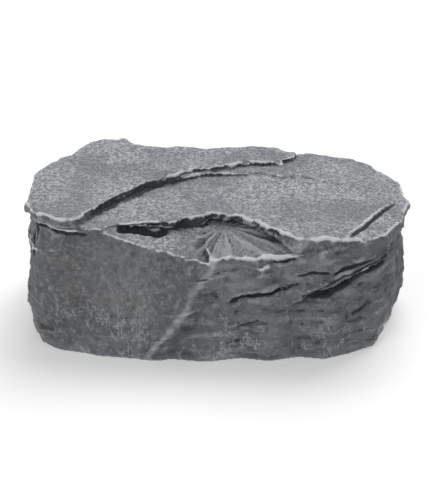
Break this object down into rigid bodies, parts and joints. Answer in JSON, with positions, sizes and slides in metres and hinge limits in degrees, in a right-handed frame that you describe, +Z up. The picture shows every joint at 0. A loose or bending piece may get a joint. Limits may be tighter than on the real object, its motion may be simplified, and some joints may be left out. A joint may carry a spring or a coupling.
{
  "type": "hide a key rock",
  "caption": "Hollow imitation stone with layered, chipped faces, a key compartment in its base and a stepped cover plate that slides out at one end.",
  "frame": {"origin": "middle of the flat base that the stone rests on", "axes": "+X along the stone, towards the end that the cover slides out of; +Y from its front to its back; +Z up from the base"},
  "size_m": [0.122, 0.0754, 0.0472],
  "materials": {
    "stone_resin": "matt",
    "cover_resin": "satin"
  },
  "bodies": {
    "stone": {"rock_body": "stone_resin"},
    "cover": {"slide_cover": "cover_resin"}
  },
  "joints": [
    {"name": "cover_slide", "type": "slide", "parent": "stone", "child": "cover", "axis": [1, 0, 0], "range_m": [0, 0.12]}
  ]
}
